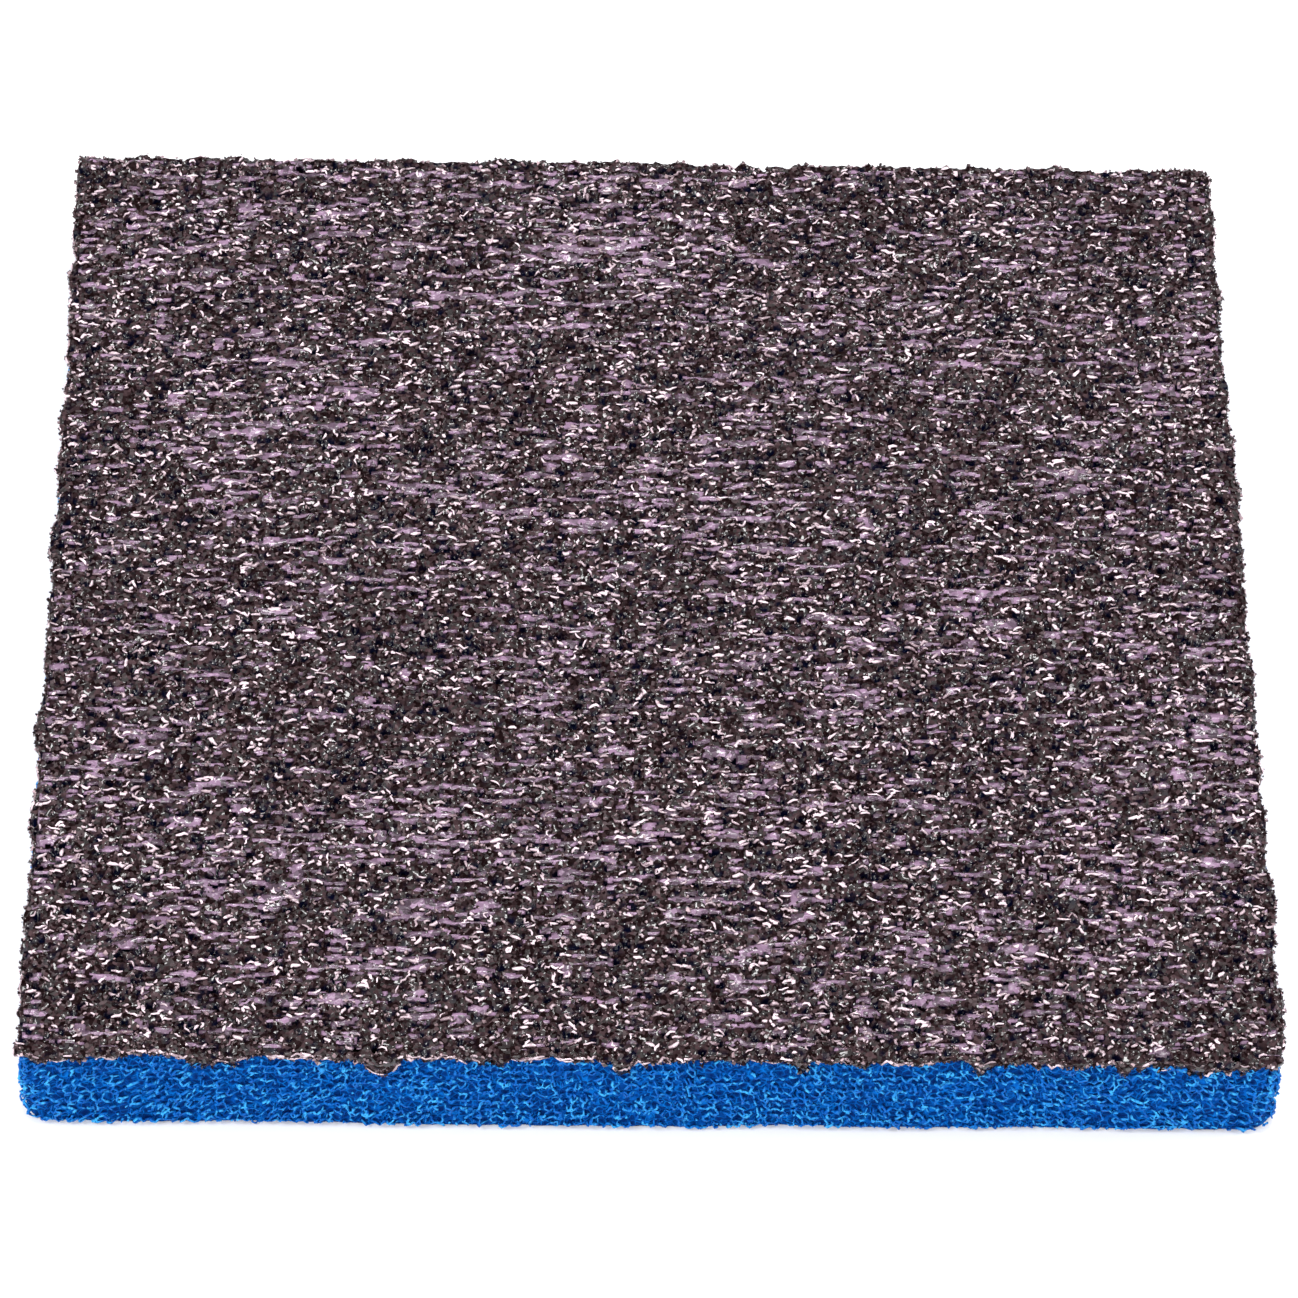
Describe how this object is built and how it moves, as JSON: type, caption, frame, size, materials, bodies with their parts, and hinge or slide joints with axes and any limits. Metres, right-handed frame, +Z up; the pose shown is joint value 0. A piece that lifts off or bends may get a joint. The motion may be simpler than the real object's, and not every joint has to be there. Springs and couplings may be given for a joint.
{
  "type": "foam sanding pad",
  "caption": "Flexible foam hand sanding pad: a flat slab of blue open-cell foam with a dark abrasive coating on its top face.",
  "frame": {"origin": "middle of the flat underside, on the surface that the pad lies on", "axes": "+X along the pad's longer side, +Y along its shorter side, +Z up through the foam to the abrasive face"},
  "size_m": [0.12, 0.112, 0.013],
  "materials": {
    "blue_foam": "matte",
    "make_coat_resin": "satin",
    "abrasive_grain": "satin",
    "size_coat_resin": "gloss"
  },
  "bodies": {
    "root": {"foam_core": "blue_foam", "make_coat": "make_coat_resin", "grain_layer": "abrasive_grain", "size_coat": "size_coat_resin"}
  },
  "joints": []
}
